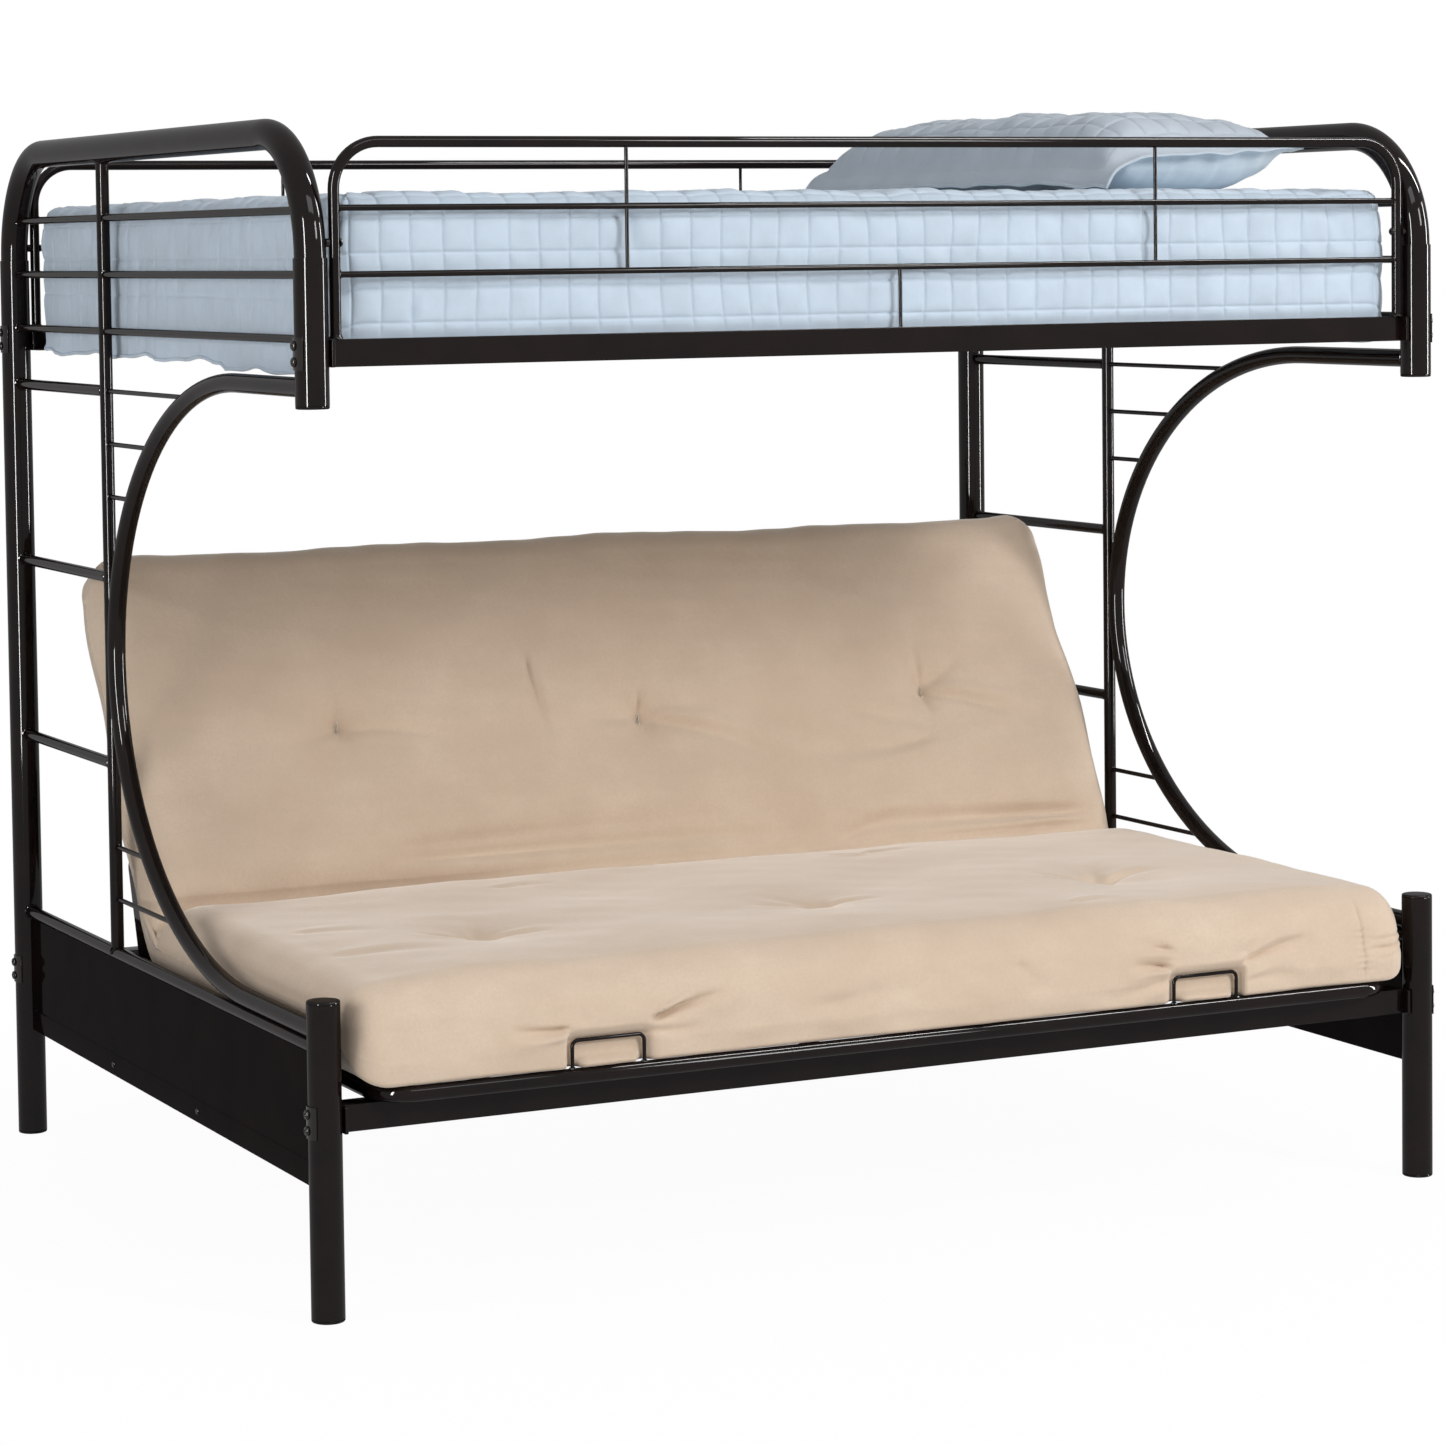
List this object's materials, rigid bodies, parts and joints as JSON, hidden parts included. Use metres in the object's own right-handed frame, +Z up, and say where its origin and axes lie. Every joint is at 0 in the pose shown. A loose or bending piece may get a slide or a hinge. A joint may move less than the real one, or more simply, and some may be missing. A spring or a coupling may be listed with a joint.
{
  "type": "loft bed",
  "caption": "Black metal bunk bed with an upper mattress, curved front C tubes and end ladders, over a sofa whose tufted back folds down flat.",
  "frame": {"origin": "on the floor, under the middle of the bed's overall box", "axes": "+X to the bed's right as seen from its open front, +Y to the rear, +Z up"},
  "size_m": [2.0238, 1.5671, 1.8101],
  "materials": {
    "black_paint": "glossy black powder coat",
    "black_hardware": "black finished bolt",
    "black_plastic": "satin",
    "futon_cover": "brushed microsuede",
    "coverlet": "quilted cotton",
    "pillow": "quilted cotton",
    "mattress": "woven ticking"
  },
  "bodies": {
    "root": {"bolt_pair_lower_front_left": "black_hardware", "bolt_pair_lower_front_right": "black_hardware", "bolt_pair_lower_rear_left": "black_hardware", "bolt_pair_lower_rear_right": "black_hardware", "bolt_pair_upper_front_left": "black_hardware", "bolt_pair_upper_front_right": "black_hardware", "bolt_pair_upper_rear_left": "black_hardware", "bolt_pair_upper_rear_right": "black_hardware", "c_tube_left": "black_paint", "c_tube_right": "black_paint", "coverlet": "coverlet", "end_ladder_left": "black_paint", "end_ladder_right": "black_paint", "end_panel_left": "black_paint", "end_panel_right": "black_paint", "foot_front_left": "black_plastic", "foot_front_right": "black_plastic", "foot_rear_left": "black_plastic", "foot_rear_right": "black_plastic", "front_lower_post_left": "black_paint", "front_lower_post_right": "black_paint", "front_upper_post_left": "black_paint", "front_upper_post_right": "black_paint", "guard_bolt_front_left": "black_hardware", "guard_bolt_front_right": "black_hardware", "guard_bolt_rear_left": "black_hardware", "guard_bolt_rear_right": "black_hardware", "guard_rail_front": "black_paint", "guard_rail_rear": "black_paint", "lower_rail_front": "black_paint", "lower_rail_rear": "black_paint", "panel_screw_front_left": "black_hardware", "panel_screw_front_right": "black_hardware", "panel_screw_rear_left": "black_hardware", "panel_screw_rear_right": "black_hardware", "panel_top_rail_left": "black_paint", "panel_top_rail_right": "black_paint", "pillow": "pillow", "post_cap_left": "black_plastic", "post_cap_right": "black_plastic", "rear_post_left": "black_paint", "rear_post_right": "black_paint", "seat_deck": "black_paint", "seat_frame": "black_paint", "seat_pad": "futon_cover", "stub_cap_left": "black_plastic", "stub_cap_right": "black_plastic", "top_bow_left": "black_paint", "top_bow_right": "black_paint", "track_bracket_left": "black_paint", "track_bracket_right": "black_paint", "upper_deck": "black_paint", "upper_mattress": "mattress", "upper_rail_front": "black_paint", "upper_rail_rear": "black_paint"},
    "futon_back": {"back_arm_left": "black_paint", "back_arm_right": "black_paint", "back_deck": "black_paint", "back_frame": "black_paint", "back_pad": "futon_cover"}
  },
  "joints": [
    {"name": "futon_back", "type": "hinge", "parent": "root", "child": "futon_back", "pos_m": [0, 0.14155, 0.49], "axis": [-1, 0, 0], "range_deg": [0, 62]}
  ]
}
